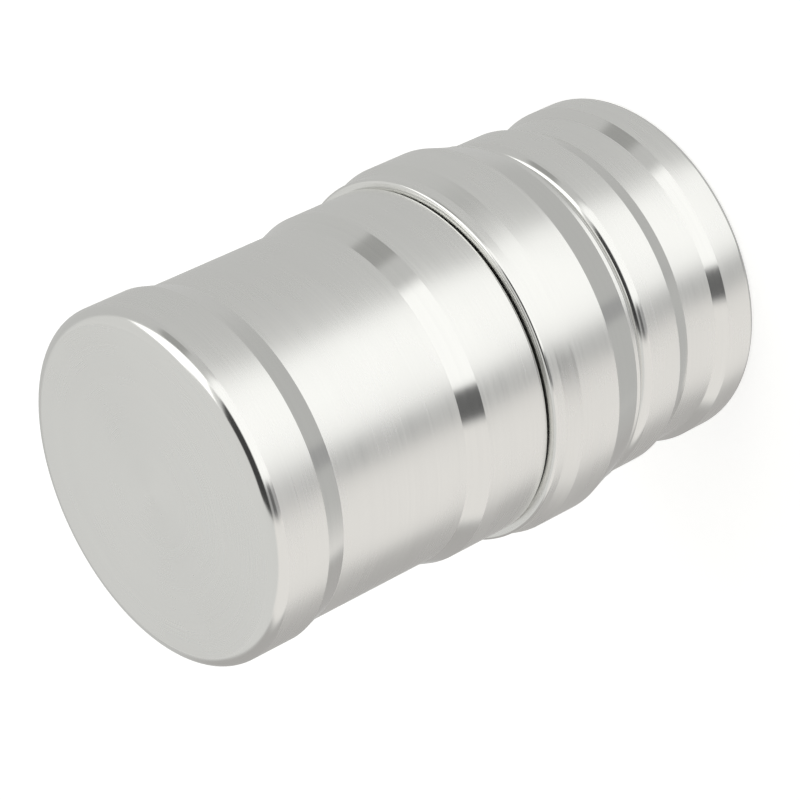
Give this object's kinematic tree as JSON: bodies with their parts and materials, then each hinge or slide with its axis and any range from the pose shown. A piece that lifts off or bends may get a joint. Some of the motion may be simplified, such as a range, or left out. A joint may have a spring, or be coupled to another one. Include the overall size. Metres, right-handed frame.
{
  "type": "blind cryptex puzzle cylinder",
  "caption": "Upright turned-metal cryptex: a waisted barrel with a closed end, a wider code ring and a short waisted cap, locked by hidden gates around an inner vial.",
  "frame": {"origin": "centre of the flat face of the cap that it stands on", "axes": "+Z along the cylinder from the cap to the closed end of the barrel, +X through the gate tooth and the slot of the core, -Y towards the front click balls"},
  "size_m": [0.045, 0.045, 0.072],
  "materials": {
    "satin_shell": "lathe-turned and satin brushed",
    "inner_aluminium": "fine turned",
    "steel": "ground",
    "ball_steel": "polished",
    "spring_steel": "drawn wire",
    "brass": "fine turned",
    "bronze": "lapped",
    "o_ring_rubber": "smooth, lightly greased"
  },
  "bodies": {
    "cap": {"cap_shell": "satin_shell", "cap_click_plate": "steel", "cap_gate_ring": "brass", "cap_gate_keys": "steel", "foot_clip": "steel", "foot_washer": "bronze"},
    "vial": {"vial_tube": "inner_aluminium", "vial_foot": "inner_aluminium", "foot_screws": "steel", "gate_tooth": "steel", "guide_pins": "steel", "foot_spring_front": "spring_steel", "foot_spring_back": "spring_steel"},
    "foot_ball_front": {"foot_ball_front": "ball_steel"},
    "foot_ball_back": {"foot_ball_back": "ball_steel"},
    "stopper": {"stopper": "inner_aluminium", "stopper_o_ring": "o_ring_rubber"},
    "barrel": {"barrel_shell": "satin_shell", "core_sleeve": "inner_aluminium", "core_screw": "steel", "core_lug": "steel", "barrel_hub": "inner_aluminium", "core_clip": "steel", "ring_washer": "bronze", "ring_spring_front": "spring_steel", "ring_spring_back": "spring_steel"},
    "ring_ball_front": {"ring_ball_front": "ball_steel"},
    "ring_ball_back": {"ring_ball_back": "ball_steel"},
    "ring": {"ring_shell": "satin_shell", "ring_gate": "brass", "ring_click_plate": "steel", "ring_keys": "steel"}
  },
  "joints": [
    {"name": "cap_turn", "type": "hinge", "parent": "cap", "child": "vial", "pos_m": [0, 0, 0], "axis": [0, 0, 1], "continuous": true},
    {"name": "barrel_lift", "type": "slide", "parent": "vial", "child": "barrel", "axis": [0, 0, 1], "range_m": [0, 0.046]},
    {"name": "ring_turn", "type": "hinge", "parent": "barrel", "child": "ring", "pos_m": [0, 0, 0.0256], "axis": [0, 0, 1], "continuous": true},
    {"name": "stopper_pull", "type": "slide", "parent": "vial", "child": "stopper", "axis": [0, 0, 1], "range_m": [0, 0.0053]},
    {"name": "foot_click_front", "type": "slide", "parent": "vial", "child": "foot_ball_front", "axis": [0, 0, 1], "range_m": [0, 0.0007], "stiffness_N_per_m": 800, "springref_m": -0.0015, "deforming": ["foot_spring_front"]},
    {"name": "ring_click_front", "type": "slide", "parent": "barrel", "child": "ring_ball_front", "axis": [0, 0, 1], "range_m": [0, 0.0007], "stiffness_N_per_m": 800, "springref_m": -0.0015, "deforming": ["ring_spring_front"]},
    {"name": "foot_click_back", "type": "slide", "parent": "vial", "child": "foot_ball_back", "axis": [0, 0, 1], "range_m": [0, 0.0007], "stiffness_N_per_m": 800, "springref_m": -0.0015, "deforming": ["foot_spring_back"]},
    {"name": "ring_click_back", "type": "slide", "parent": "barrel", "child": "ring_ball_back", "axis": [0, 0, 1], "range_m": [0, 0.0007], "stiffness_N_per_m": 800, "springref_m": -0.0015, "deforming": ["ring_spring_back"]}
  ]
}
